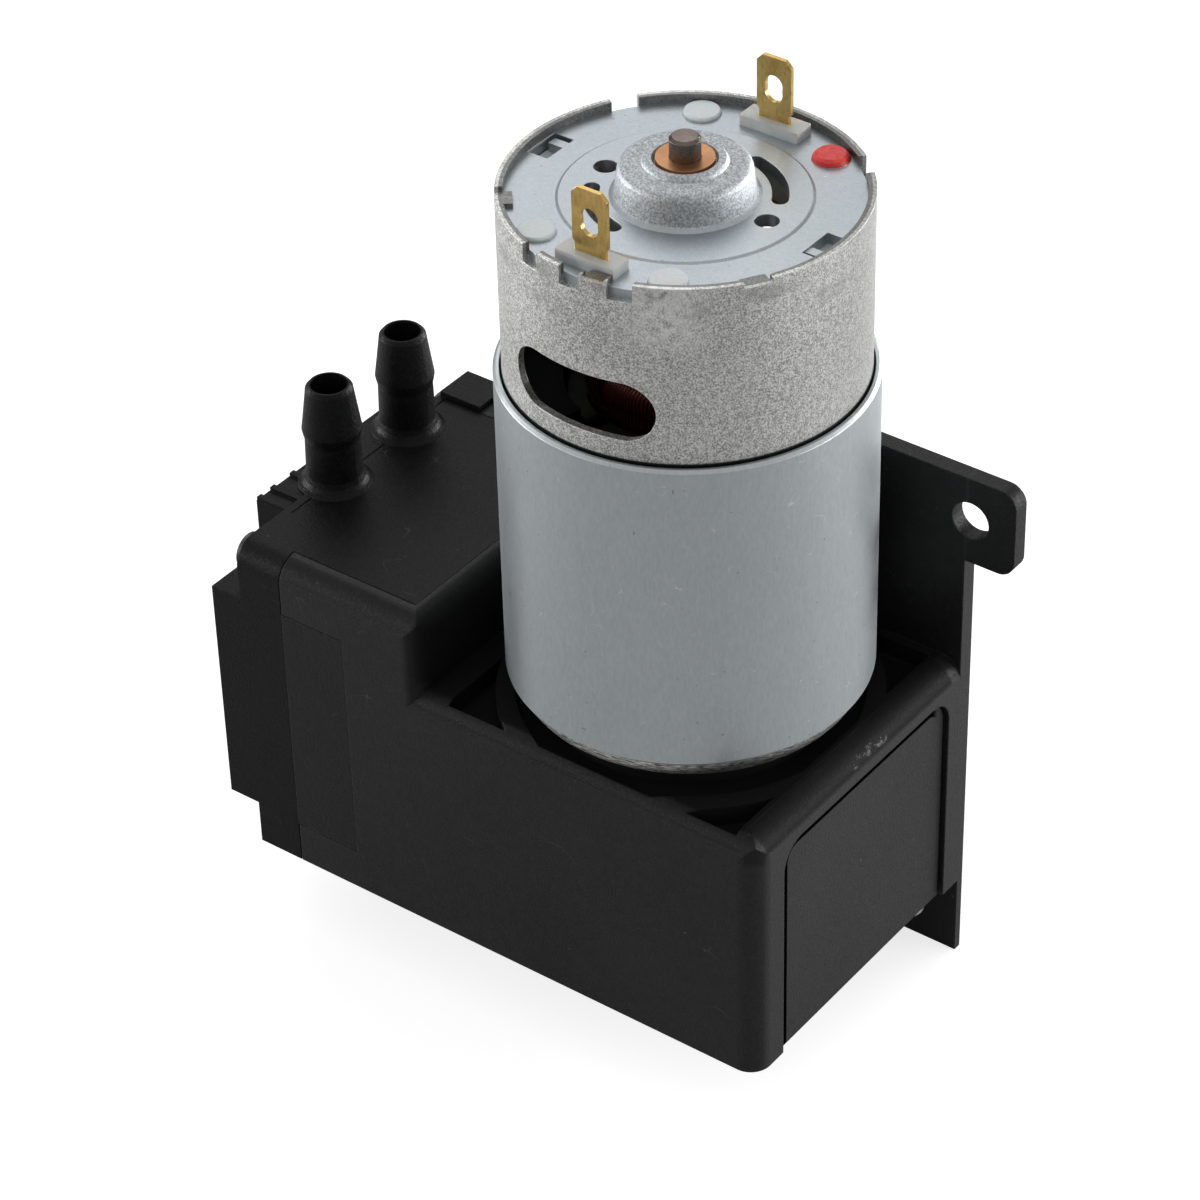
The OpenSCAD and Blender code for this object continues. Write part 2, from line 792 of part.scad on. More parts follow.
module flux_ring() {
    lip = 0.5;
    color("#aab4ba") at_motor() rotate_extrude() polygon([[can_r, ring_z0], [ring_r - lip, ring_z0],
        [ring_r, ring_z0 + lip], [ring_r, ring_z1 - lip * 0.6], [ring_r - lip * 0.6, ring_z1],
        [can_r + 0.25, ring_z1], [can_r + 0.25, ring_z1 - 1], [can_r, ring_z1 - 1.2]]);
}

module magnets() {
    color("#3a3b3d") at_motor() for (a = [0, 180]) {
        rotate(a) translate([0, 0, magnet_z0]) linear_extrude(magnet_len) intersection() {
            difference() {
                circle(can_in_r);
                circle(magnet_in_r);
            }
            sector(can_in_r * 1.2, 68);
        }
    }
}

module magnet_springs() {
    color("#8f9296") at_motor() for (a = [90, 270]) {
        rotate(a) translate([0, 0, magnet_z0]) linear_extrude(magnet_len) intersection() {
            difference() {
                circle(can_in_r);
                circle(can_in_r - 0.8);
            }
            sector(can_in_r * 1.2, 18);
        }
    }
}

module front_bush() {
    color("#9c6a3c") at_motor() difference() {
        translate([0, 0, can_z - boss_drop + 1]) cylinder(r = 4, h = boss_drop);
        translate([0, 0, can_z - boss_drop - over])
            cylinder(r = shaft_r + running_gap, h = boss_drop + 4 * over);
    }
}

module rear_bush() {
    color("#a9683a") at_motor() difference() {
        translate([0, 0, plate_z - 0.3]) cylinder(r = bush_r, h = boss_top + 0.1 - plate_z + 0.3);
        translate([0, 0, plate_z - over]) cylinder(r = shaft_r + running_gap, h = 8);
    }
}

// Kidney-shaped vent between two angles
module vent(a0, a1) {
    r0 = 8.4;
    r1 = 10.1;
    mid = (a0 + a1) / 2;
    half = (a1 - a0) / 2;
    intersection() {
        difference() {
            circle(r1);
            circle(r0);
        }
        rotate(mid) sector(r1 * 1.3, half);
    }
    for (a = [a0, a1]) {
        rotate(a) translate([(r0 + r1) / 2, 0]) circle((r1 - r0) / 2 - 0.02);
    }
}

module end_plate() {
    p = plate_z;
    color("#b3babe") at_motor() {
        pressed_plate();
        // Bent tongues in the two side slots
        for (a = [0, 180]) {
            rotate(a) translate([15, -1.7, p - end_plate_t]) cube([2.2, 1.1, end_plate_t - 0.2]);
        }
    }
}

// Round shoulder of the boss, drawn as (r, z)
function boss_shoulder() = [for (a = [0:15:90])
    [shoulder_r0 + shoulder_r * cos(a), step_z - shoulder_r * (1 - sin(a))]];

module pressed_plate() {
    p = plate_z;
    difference() {
        rotate_extrude() polygon([[bush_r, p - end_plate_t], [can_in_r, p - end_plate_t], [can_in_r, p],
            [12.7, p], [12.4, p + 0.2], [7.5, p + 0.2], [7, p + 0.6], each boss_shoulder(),
            [4.6, step_z], [4.3, step_z + 0.1], [4.2, boss_top - 0.2], [4, boss_top],
            [bush_r + 0.35, boss_top], [bush_r + 0.1, boss_top - 0.5], [bush_r, boss_top - 0.5]]);
        // Hollow under the boss
        translate([0, 0, p - 2 * over]) cylinder(r = 5.6, h = 2 * over + 1.6);
        translate([0, 0, p - 2 * over]) linear_extrude(4 * over) {
            vent(27, 77);
            vent(207, 257);
            for (a = [2, 182]) {
                rotate(a) translate([9.4, 0]) circle(1.25);
            }
            for (s = [-1, 1]) {
                translate([-block_w / 2, s * terminal_y - block_t / 2])
                    square([block_w, block_t]);
                for (t = [-1, 1]) {
                    translate([s * stake_x, t * stake_y]) circle(1.2);
                }
                rotate(s * 90 - 90) translate([15.2, -2.2]) square([2.4, 4.4]);
            }
        }
    }
}

module brush_holder() {
    color("#dfe2dc") at_motor() difference() {
        union() {
            translate([0, 0, holder_z0]) cylinder(r = can_in_r - 0.3, h = plate_z - end_plate_t - holder_z0);
            for (s = [-1, 1]) {
                translate([-block_w / 2, s * terminal_y - block_t / 2, holder_z0])
                    cube([block_w, block_t, block_top - holder_z0]);
                for (t = [-1, 1]) {
                    translate([s * stake_x, t * stake_y, holder_z0]) {
                        cylinder(r = 1.2, h = plate_z - holder_z0 + 0.1);
                        translate([0, 0, plate_z - holder_z0]) cylinder(r1 = 2, r2 = 1.8, h = 0.45);
                    }
                }
            }
        }
        translate([0, 0, holder_z0 - over]) cylinder(r = 11, h = plate_z - holder_z0 + over * 0.5);
        for (s = [-1, 1]) {
            translate([-terminal_w / 2, s * terminal_y - terminal_t / 2, holder_z0 - over])
                cube([terminal_w, terminal_t, block_top - holder_z0 + 2 * over]);
        }
    }
}

module polarity_mark() {
    color("#d8322f") at_motor() translate([stake_x, stake_y, plate_z + 0.45])
        cylinder(r1 = 1.8, r2 = 1.5, h = 0.3);
}

// Outline of a terminal, drawn as (x, z)
module terminal_outline() {
    w = terminal_w / 2;
    z0 = brush_z - brush_h / 2;
    foot = block_top + 0.8;
    hole_up = 0.45;
    difference() {
        polygon([[-w, z0], [w, z0], [w, block_top], [w - 0.3, block_top], [w - 0.3, foot], [w, foot + 0.3],
            [w, total_h - 0.7], [w - 0.7, total_h], [-w + 0.7, total_h], [-w, total_h - 0.7],
            [-w, foot + 0.3], [-w + 0.3, foot], [-w + 0.3, block_top], [-w, block_top]]);
        translate([0, total_h - 3.5]) {
            for (s = [-1, 1]) {
                translate([0, s * hole_up]) circle(terminal_hole_r);
            }
            translate([0.02 - terminal_hole_r, -hole_up]) square([2 * terminal_hole_r - 0.04, 2 * hole_up]);
        }
    }
}

module terminals() {
    color("#c9a24a") at_motor() for (s = [-1, 1]) {
        along_y(s * terminal_y - terminal_t / 2, terminal_t) terminal_outline();
    }
}

module brush_arms() {
    t = 0.4;
    x1 = 8.6;
    y0 = 7;
    color("#c9a24a") at_motor() for (a = [0, 180]) {
        rotate(a) translate([0, 0, brush_z - brush_h / 2 + 0.2]) linear_extrude(brush_h - 0.4) {
            translate([-1.3, y0]) square([x1 + 1.3, t]);
            translate([x1 - t, y0]) square([t, terminal_y + t / 2 - y0]);
            translate([terminal_w / 2, terminal_y - t / 2]) square([x1 - terminal_w / 2, t]);
        }
    }
}

module brushes() {
    color("#2e2e30") at_motor() for (a = [0, 180]) {
        rotate(a) translate([0, 0, brush_z - brush_h / 2]) difference() {
            translate([-1.3, 3, 0]) cube([2.6, 4, brush_h]);
            translate([0, 0, -over]) cylinder(r = commutator_r + brush_gap, h = brush_h + 2 * over);
        }
    }
}

module shaft() {
    color("#8d8a86") at_motor() {
        translate([0, 0, shaft_z0]) cylinder(r = shaft_r, h = shaft_z1 - shaft_z0 - 0.3);
        translate([0, 0, shaft_z1 - 0.3]) cylinder(r1 = shaft_r, r2 = shaft_r - 0.3, h = 0.3);
    }
}

module shaft_washers() {
    top = commutator_z0 + commutator_len;
    color("#d9c27a") at_motor() difference() {
        union() {
            translate([0, 0, can_z + 1.2]) cylinder(r = 3, h = 1);
            translate([0, 0, top]) cylinder(r = 2.6, h = plate_z - 0.35 - top);
        }
        translate([0, 0, can_z - over]) cylinder(r = shaft_r, h = can_len + 5);
    }
}

// Flat section of the armature: pole pieces round a hub, drawn with its shaft bore
module core_section(grow) {
    difference() {
        union() {
            circle(4.6 + grow);
            difference() {
                circle(core_r);
                circle(core_r - 1.6 - grow);
            }
            for (i = [0:poles - 1]) {
                rotate(i * 360 / poles) translate([0, -1.6 - grow]) square([core_r - 0.5, 3.2 + 2 * grow]);
            }
        }
        for (i = [0:poles - 1]) {
            rotate((i + 0.5) * 360 / poles) translate([core_r - 3, -1]) square([5, 2]);
        }
        circle(shaft_r);
    }
}

module armature_core() {
    color("#6f7478") at_motor() translate([0, 0, core_z0]) linear_extrude(core_len) core_section(0);
}

module slot_insulators() {
    color("#3f6b4f") at_motor() for (z = [core_z0 - 0.5, core_z0 + core_len]) {
        translate([0, 0, z]) linear_extrude(0.5) core_section(0.1);
    }
}

module windings() {
    z0 = core_z0 - 0.5;
    z1 = core_z0 + core_len + 0.5;
    color("#a14a26") at_motor() difference() {
        union() {
            for (z = [z0 - coil_h, z1]) {
                translate([0, 0, z]) rotate_extrude() union() {
                    translate([4.8, 0.6]) square([5.4, coil_h - 1.2]);
                    translate([5.6, 0]) square([3.8, coil_h]);
                    translate([7.5, coil_h / 2]) circle(3.2);
                }
            }
            for (i = [0:poles - 1]) {
                for (s = [-1, 1]) {
                    rotate(i * 360 / poles) translate([7.6, s * 3.1, z0 - 1])
                        cylinder(r = 1.35, h = z1 - z0 + 2);
                }
            }
        }
        for (i = [0:poles - 1]) {
            rotate((i + 0.5) * 360 / poles) {
                translate([4, -0.6, z1 + 1]) cube([9, 1.2, coil_h]);
                translate([4, -0.6, z0 - 1 - coil_h]) cube([9, 1.2, coil_h]);
            }
        }
    }
}

module commutator() {
    color("#b87945") at_motor() difference() {
        union() {
            translate([0, 0, commutator_z0]) cylinder(r = commutator_r, h = commutator_len);
            translate([0, 0, commutator_z0]) cylinder(r = commutator_r + 1.2, h = 1.2);
        }
        translate([0, 0, commutator_z0 - over]) cylinder(r = shaft_r, h = commutator_len + 2 * over);
        for (i = [0:poles - 1]) {
            rotate((i + 0.5) * 360 / poles) translate([commutator_r - 0.6, -0.2, commutator_z0 - over])
                cube([3, 0.4, commutator_len + 2 * over]);
        }
    }
}

pump_case();
bottom_cover();
bottom_cover_screws();
head_cover();
head_screws();
head_gasket();
valve_body();
inlet_valve();
outlet_valve();
diaphragm();
diaphragm_retainer();
diaphragm_screw();
connecting_rod();
bearing_outer_race();
bearing_inner_race();
bearing_cage();
bearing_balls();
bearing_clip();
eccentric();
eccentric_set_screw();
motor_screws();
motor_can();
flux_ring();
magnets();
magnet_springs();
front_bush();
rear_bush();
end_plate();
brush_holder();
polarity_mark();
terminals();
brush_arms();
brushes();
shaft();
shaft_washers();
armature_core();
slot_insulators();
windings();
commutator();
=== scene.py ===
# %% [markdown]
# # Dressing a mini vacuum pump
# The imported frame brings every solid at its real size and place, in metres.
# This lesson adds what a photographer would see: a studio, a camera and the finish
# of each material, from the grain of the moulding to the scratches on the can.
# Nothing is moved or resized, so the frame stays the truth about the shape.

# %% Load the frame
import math

import bmesh
import bpy
from mathutils import Matrix, Vector


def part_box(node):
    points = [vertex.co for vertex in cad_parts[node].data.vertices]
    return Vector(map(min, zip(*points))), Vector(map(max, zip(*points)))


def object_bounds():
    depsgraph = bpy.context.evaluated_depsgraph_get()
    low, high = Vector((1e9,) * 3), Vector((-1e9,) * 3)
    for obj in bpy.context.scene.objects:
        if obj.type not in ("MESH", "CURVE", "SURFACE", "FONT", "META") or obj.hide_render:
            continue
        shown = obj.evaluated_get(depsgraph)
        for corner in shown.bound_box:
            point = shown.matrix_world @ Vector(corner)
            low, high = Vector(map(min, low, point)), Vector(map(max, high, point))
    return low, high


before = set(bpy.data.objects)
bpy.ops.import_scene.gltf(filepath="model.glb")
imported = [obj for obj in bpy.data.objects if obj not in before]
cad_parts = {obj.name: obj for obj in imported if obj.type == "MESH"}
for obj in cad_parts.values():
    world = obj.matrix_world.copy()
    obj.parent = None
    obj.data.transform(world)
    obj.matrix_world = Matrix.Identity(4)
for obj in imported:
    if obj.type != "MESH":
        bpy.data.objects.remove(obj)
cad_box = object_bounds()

MM = 0.001
STAKE_HEIGHT = 0.45
shaft_low, shaft_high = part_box("shaft")
motor_axis = (shaft_low + shaft_high) / 2 / MM
plate_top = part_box("polarity_mark")[0].z / MM - STAKE_HEIGHT
print(len(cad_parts), "nodes; the motor's axis is at y", round(motor_axis.y, 2), "mm")

# %% [markdown]
# ## Camera
# The camera stands where the photographer stood. Its place was found by matching
# corners of the real object with the same corners of the model. We could aim an
# empty and use a constraint, but a camera built from its own three directions
# says exactly what it does. The small shift keeps the object where the
# photograph's frame has it.

# %% Camera
PHOTO_SIDE = 1200
SENSOR = 36.0
camera_turn = math.radians(35.87)
camera_rise = math.radians(37.10)
camera_roll = math.radians(-0.57)
camera_place = Vector((204.6, -303.4, 303.35)) * MM
focal_pixels = 4172.2
centre_pixels = (697.7, 619.7)

toward_camera = Vector((math.sin(camera_turn) * math.cos(camera_rise),
                        -math.cos(camera_turn) * math.cos(camera_rise),
                        math.sin(camera_rise)))
level_right = Vector((math.cos(camera_turn), math.sin(camera_turn), 0.0))
level_up = toward_camera.cross(level_right)
right = math.cos(camera_roll) * level_right + math.sin(camera_roll) * level_up
up = math.cos(camera_roll) * level_up - math.sin(camera_roll) * level_right

camera_data = bpy.data.cameras.new("studio_camera")
camera_data.sensor_width = SENSOR
camera_data.lens = focal_pixels / PHOTO_SIDE * SENSOR
camera_data.shift_x = (PHOTO_SIDE / 2 - centre_pixels[0]) / PHOTO_SIDE
camera_data.shift_y = (centre_pixels[1] - PHOTO_SIDE / 2) / PHOTO_SIDE
camera = bpy.data.objects.new("studio_camera", camera_data)
bpy.context.scene.collection.objects.link(camera)
axes = Matrix((right, up, toward_camera)).transposed()
camera.matrix_world = Matrix.Translation(camera_place) @ axes.to_4x4()
bpy.context.scene.camera = camera
print("lens", round(camera_data.lens, 1), "mm, shift",
      round(camera_data.shift_x, 3), round(camera_data.shift_y, 3))

# %% [markdown]
# ## Shader maths
# A finish is a small sum: grain plus scratches, less a mask. Wiring Math nodes by
# hand hides that sum, so one small class wraps a socket and turns Python's own
# operators into Math nodes. The reflected forms let us write 1 - mask, and `fade`
# is the soft threshold that nearly every mask ends with.

# %% A socket that can be counted with
class Value:
    """An output socket of a finish, usable in Python expressions."""

    def __init__(self, finish, node, output=0):
        self.finish = finish
        self.node = node
        self.socket = node.outputs[output]

    def out(self, output):
        return Value(self.finish, self.node, output)

    def count(self, operation, *others):
        return self.finish.node("ShaderNodeMath", {"operation": operation}, dict(enumerate(others)))

    def __add__(self, other):
        return self.count("ADD", self, other)

    def __sub__(self, other):
        return self.count("SUBTRACT", self, other)

    def __rsub__(self, other):
        return self.count("SUBTRACT", other, self)

    def __mul__(self, other):
        return self.count("MULTIPLY", self, other)

    def __truediv__(self, other):
        return self.count("DIVIDE", self, other)

    def __rtruediv__(self, other):
        return self.count("DIVIDE", other, self)

    def __pow__(self, other):
        return self.count("POWER", self, other)

    def __abs__(self):
        return self.count("ABSOLUTE", self)

    def greater(self, other):
        return self.count("MAXIMUM", self, other)

    __radd__ = __add__
    __rmul__ = __mul__

    def fade(self, low, high):
        """0 below low, 1 above high and a smooth step between; high may be the lower one."""
        limits = (low, high, 0.0, 1.0) if low < high else (high, low, 1.0, 0.0)
        return self.finish.node("ShaderNodeMapRange", {"interpolation_type": "SMOOTHSTEP"},
                                {0: self, 1: limits[0], 2: limits[1], 3: limits[2], 4: limits[3]})


# %% [markdown]
# Materials and the world are both node trees, so one small class serves both. Every
# node comes from one method: its type, its settings first, then its sockets as
# numbers or links. A finish adds one material and short names for what a maker
# sees: grain, a hairline scratch, a sharp edge, a rounded corner.

# %% Node trees
class Wiring:
    """A node tree of a material or of the world."""

    def __init__(self, owner):
        owner.use_nodes = True
        self.tree = owner.node_tree
        self.tree.nodes.clear()

    def node(self, kind, settings, sockets):
        new = self.tree.nodes.new(kind)
        for name, setting in settings.items():
            setattr(new, name, setting)
        for name, value in sockets.items():
            if isinstance(value, Value):
                self.tree.links.new(value.socket, new.inputs[name])
            elif isinstance(value, tuple) and len(value) == 3 and new.inputs[name].type == "RGBA":
                new.inputs[name].default_value = (*value, 1.0)
            else:
                new.inputs[name].default_value = value
        return Value(self, new) if new.outputs else None

    def blend(self, amount, first, second):
        return self.node("ShaderNodeMix", {"data_type": "RGBA"}, {0: amount, 6: first, 7: second}).out(2)


# %% A finish
class Finish(Wiring):
    """A material with one skin, and what varies over it."""

    def __init__(self, name, colour, roughness, metal=0.0, **constants):
        self.material = bpy.data.materials.new(name)
        super().__init__(self.material)
        self.skin = self.node("ShaderNodeBsdfPrincipled", {}, constants).node
        self.node("ShaderNodeOutputMaterial", {}, {"Surface": Value(self, self.skin)})
        self.output = self.tree.nodes[-1]
        self.wear(colour=colour, roughness=roughness, metal=metal)
        self.seed = sum(ord(letter) for letter in name) % 97

    def cover(self, share, other):
        """Lets another shader show through where share is 1."""
        mixed = self.node("ShaderNodeMixShader", {}, {0: share, 1: Value(self, self.skin), 2: other})
        self.tree.links.new(mixed.socket, self.output.inputs["Surface"])

    def wear(self, colour=None, roughness=None, metal=None, normal=None):
        """Sets what varies over the surface."""
        pairs = (("Base Color", colour), ("Roughness", roughness), ("Metallic", metal), ("Normal", normal))
        for socket, value in pairs:
            if isinstance(value, Value):
                self.tree.links.new(value.socket, self.skin.inputs[socket])
            elif value is not None:
                self.skin.inputs[socket].default_value = (*value, 1.0) if socket == "Base Color" else value

    def place(self, stretch=(1.0, 1.0, 1.0)):
        """The point of the surface in millimetres, stretched along each axis."""
        own = self.node("ShaderNodeTexCoord", {}, {}).out("Object")
        scaled = self.node("ShaderNodeVectorMath", {"operation": "MULTIPLY"},
                           {0: own, 1: tuple(1000.0 * s for s in stretch)})
        return self.node("ShaderNodeVectorMath", {"operation": "ADD"},
                         {0: scaled, 1: (self.seed * 1.7, self.seed * 0.9, self.seed * 2.3)})

    def axis_values(self):
        """x, y and z of the surface in millimetres, in the row frame."""
        own = self.node("ShaderNodeTexCoord", {}, {}).out("Object")
        split = self.node("ShaderNodeSeparateXYZ", {}, {0: own})
        return [split.out(i) * 1000.0 for i in range(3)]

    def radius(self):
        """Distance from the motor's axis in millimetres."""
        x, y, _ = self.axis_values()
        aside = y - motor_axis.y
        return (x * x + aside * aside) ** 0.5

    def edges(self, width_mm):
        """1 on sharp edges, found where a bevelled normal leans away from the true one."""
        bevelled = self.node("ShaderNodeBevel", {"samples": 4}, {"Radius": width_mm * MM})
        true = self.node("ShaderNodeNewGeometry", {}, {}).out("Normal")
        agreement = self.node("ShaderNodeVectorMath", {"operation": "DOT_PRODUCT"}, {0: bevelled, 1: true})
        return agreement.out("Value").fade(0.985, 0.86)

    def curved(self):
        """1 where the true surface turns from one flat side to the next."""
        true = self.node("ShaderNodeNewGeometry", {}, {}).out("True Normal")
        split = self.node("ShaderNodeSeparateXYZ", {}, {0: true})
        across = abs(split.out(0)).greater(abs(split.out(1)))
        return across.greater(abs(split.out(2))).fade(0.995, 0.92)

    def grain(self, per_mm, detail=3.0, rough=0.55, stretch=(1.0, 1.0, 1.0), twist=0.0):
        """Noise with about per_mm lumps in a millimetre."""
        return self.node("ShaderNodeTexNoise", {}, {
            "Vector": self.place(stretch), "Scale": per_mm,
            "Detail": detail, "Roughness": rough, "Distortion": twist})

    def hairlines(self, per_mm, width, share):
        """Thin broken curves, where a slow noise crosses its middle value."""
        crossing = abs(self.grain(per_mm, 0.0, 0.5, twist=1.2) - 0.5).fade(width, 0.0)
        broken = self.grain(per_mm * 1.9, 1.0).fade(1.0 - share, 1.03 - share)
        return crossing * broken

    def relief(self, height, depth_mm, strength=1.0, edge_mm=0.0):
        """A bumped normal, on edges rounded by edge_mm."""
        sockets = {"Height": height, "Distance": depth_mm * MM, "Strength": strength}
        if edge_mm:
            sockets["Normal"] = self.node("ShaderNodeBevel", {"samples": 4}, {"Radius": edge_mm * MM})
        return self.node("ShaderNodeBump", {}, sockets)


def dress(finish, *names):
    """Puts a finish on CAD nodes, in place of the plain colour they came with."""
    for name in names:
        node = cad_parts[name]
        for slot in node.material_slots:
            slot.link = "DATA"
        node.data.materials.clear()
        node.data.materials.append(finish.material)


# %% [markdown]
# ## Studio
# The product stands on a pale floor in a white room. The world lights it evenly, and
# five soft lamps give it form. The floor is grey paper to the lamps, since upright
# faces mirror it and a white one would bleach them. To the camera alone it also
# glows, so that it melts into the background and still keeps the shadow. A shadow
# catcher would do that too, but then nothing would be mirrored in the metal.

# %% Floor
FLOOR_GAP = 0.00002
FLOOR_RADII = (0.3, 1.2, 4.0)
FLOOR_SIDES = 48
floor_z = cad_box[0][2] - FLOOR_GAP


def floor_mesh():
    """A round sheet of a few rings."""
    mesh = bpy.data.meshes.new("studio_floor")
    build = bmesh.new()
    turns = [math.tau * i / FLOOR_SIDES for i in range(FLOOR_SIDES)]
    rings = [[build.verts.new((radius * math.cos(turn), radius * math.sin(turn), floor_z)) for turn in turns]
             for radius in FLOOR_RADII]
    build.faces.new(rings[0])
    for inner, outer in zip(rings, rings[1:]):
        for i in range(FLOOR_SIDES):
            after = (i + 1) % FLOOR_SIDES
            build.faces.new((inner[i], outer[i], outer[after], inner[after]))
    build.to_mesh(mesh)
    build.free()
    return mesh


floor = bpy.data.objects.new("studio_floor", floor_mesh())
bpy.context.scene.collection.objects.link(floor)

paper = Finish("floor_paper", (0.50, 0.50, 0.50), 0.9, **{"Specular IOR Level": 0.0})
paper.wear(roughness=0.85 + 0.1 * paper.grain(0.4))
seen = paper.node("ShaderNodeLightPath", {}, {}).out("Is Camera Ray")
glow = paper.node("ShaderNodeEmission", {}, {"Color": (1.0, 1.0, 1.0), "Strength": 0.74})
lit_glow = paper.node("ShaderNodeAddShader", {}, {0: Value(paper, paper.skin), 1: glow})
paper.cover(seen, lit_glow)
floor.data.materials.append(paper.material)
print("floor at", round(floor_z * 1000, 2), "mm")

# %% [markdown]
# The world is darker at the horizon than overhead. The camera sees plain white
# instead, through a Mix Shader on the ray's kind. Each softbox faces the object: the
# right one draws the bright edge of the motor, the side one its slope of light, the
# top one lies where the end plate mirrors it, and the front one catches the top
# edges of the case.

# %% World
HORIZON = (0.30, 0.30, 0.30)
ZENITH = (0.62, 0.62, 0.62)
world = bpy.data.worlds.new("white_room")
bpy.context.scene.world = world
room = Wiring(world)
path = room.node("ShaderNodeLightPath", {}, {})
towards = room.node("ShaderNodeSeparateXYZ", {}, {0: room.node("ShaderNodeTexCoord", {}, {})})
level = room.blend(towards.out(2).fade(-0.1, 1.0), HORIZON, ZENITH)
lit = room.node("ShaderNodeBackground", {}, {"Color": level, "Strength": 1.0})
white = room.node("ShaderNodeBackground", {}, {"Color": (1.0, 1.0, 1.0), "Strength": 1.0})
shown = room.node("ShaderNodeMixShader", {}, {0: path, 1: lit, 2: white})
room.node("ShaderNodeOutputWorld", {}, {"Surface": shown})


# %% Lamps
MIDDLE = Vector((0.0, -0.02, 0.045))


def softbox(name, place, size, power):
    """A soft lamp that faces the middle of the object."""
    data = bpy.data.lights.new(name, "AREA")
    data.shape = "RECTANGLE"
    data.size, data.size_y = size
    data.energy = power
    lamp = bpy.data.objects.new(name, data)
    lamp.location = place
    lamp.rotation_euler = (MIDDLE - Vector(place)).to_track_quat("-Z", "Y").to_euler()
    bpy.context.scene.collection.objects.link(lamp)


softbox("lamp_right", (0.24, 0.58, 0.08), (0.4, 0.16), 4.2)
softbox("lamp_side", (0.52, 0.26, 0.10), (0.3, 0.2), 1.7)
softbox("lamp_top", (-0.38, 0.30, 0.60), (0.5, 0.5), 0.95)
softbox("lamp_left", (-0.60, -0.24, 0.10), (0.3, 0.2), 2.4)
softbox("lamp_front", (-0.30, -0.58, 0.20), (0.22, 0.12), 0.40)
bpy.context.scene.view_settings.view_transform = "Standard"
print("lamps:", [light.name for light in bpy.data.lights])

# %% [markdown]
# ## Black moulding
# The body is ABS from an etched mould: nearly black, with an even fine grain that
# breaks up every reflection, soft edges, and dust caught in the grain. Its sharp
# edges and rounded corners also get a painted highlight, a lighter colour in
# sparkling spots. A texture image could hold this, but noise in the object's own
# millimetres needs no unwrapping and keeps its scale on every part. Rounded edges
# come from a bevel in the shader, so the solids stay as they are.

# %% Black moulding
def moulded(name, dark, light, gloss, shine, glint_share=0.2):
    """A black plastic; returns the finish and its colour, for local changes."""
    finish = Finish(name, dark, gloss, 0.0, **{"Specular IOR Level": shine})
    cloud = finish.grain(0.06, 3.0)
    tooth = finish.grain(3.4, 2.0, 0.65)
    mottle = finish.grain(0.9, 3.0, 0.6)
    edge = finish.edges(0.30) * finish.grain(2.2, 2.0).fade(0.46, 0.66)
    dust = finish.grain(2.2, 0.0).fade(0.82, 0.86) * finish.grain(0.3, 2.0).fade(0.52, 0.62)
    rub = finish.hairlines(0.13, 0.006, 0.40)
    colour = finish.blend((0.5 + 1.2 * (cloud - 0.5) + 1.6 * (mottle - 0.5)).fade(0.1, 0.9), dark, light)
    # Painted highlight: sharp edges and rounded corners get a lighter colour in sparkling spots.
    fillet_glint = finish.curved() * finish.grain(3.6, 2.0, 0.7).fade(0.52, 0.70)
    colour = finish.blend((edge * 0.4).greater(fillet_glint * glint_share), colour, (0.05, 0.05, 0.052))
    colour = finish.blend((dust * 0.4 + rub * 0.25).fade(0.0, 1.0), colour, (0.16, 0.16, 0.165))
    rough = gloss + 0.55 * (tooth - 0.5) + 0.12 * (mottle - 0.5) + 0.06 * (cloud - 0.5) - 0.08 * rub
    height = tooth + 0.5 * mottle
    finish.wear(colour=colour, roughness=rough, normal=finish.relief(height, 0.06, 0.9, 0.22))
    return finish, colour


case_black, case_colour = moulded("case_moulding", (0.0060, 0.0060, 0.0063),
                                  (0.0100, 0.0100, 0.0103), 0.48, 0.30)
# Painted light: the cover is a paler copy of the case moulding, as its end panel faces the lamps like the end
# wall.
cover_black, cover_colour = moulded("cover_moulding", (0.0125, 0.0125, 0.0128),
                                    (0.0175, 0.0175, 0.0178), 0.52, 0.28)
head_black, _ = moulded("head_moulding", (0.0045, 0.0045, 0.0051), (0.0065, 0.0065, 0.0073),
                        0.42, 0.13, 0.12)
valve_black, _ = moulded("valve_moulding", (0.0050, 0.0050, 0.0053), (0.0075, 0.0075, 0.0078),
                         0.46, 0.25)
print("finish so far:", [material.name for material in bpy.data.materials])

# %% [markdown]
# A dark seam runs round the end panel. Its gap is real, but seen from the front
# corner the wall hides the gap's bottom, so the gap's shadow is painted as a line
# where the eye meets the panel again, in the colour and under a dull black sheet.
# It is the distance from a rounded outline, made with two maxima and a root. An
# image mask would need unwrapping, and this needs six numbers.

# %% Painted shadow in the seam of the end panel
SEAM_SHADOW_BLACK = (0.0005, 0.0005, 0.0005)
PANEL_SET_BACK = 0.6
SEAM_INWARD = 0.80
SEAM_WIDTH = 0.46
cover_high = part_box("bottom_cover")[1]
face_x = cover_high.x / MM + PANEL_SET_BACK
panel_top = cover_high.z / MM
PANEL_LEFT = -34.8
PANEL_RIGHT = -4.2
PANEL_ROUND = 3.0


def panel_seam_shadow(finish, inward, line_mm):
    """1 on the painted shadow line inside the end panel's outline, along its foot-open left side and its top.
    """
    x, y, z = finish.axis_values()
    half = (PANEL_RIGHT - PANEL_LEFT) / 2
    side = (abs(y - (PANEL_LEFT + PANEL_RIGHT) / 2) - (half - PANEL_ROUND)).greater(0.0)
    rise = (z - (panel_top - PANEL_ROUND)).greater(0.0)
    apart = abs((side * side + rise * rise) ** 0.5 - PANEL_ROUND + inward)
    return apart.fade(line_mm, line_mm * 0.6) * x.fade(face_x - 1.0, face_x - 0.8) * y.fade(-5.2, -6.4)


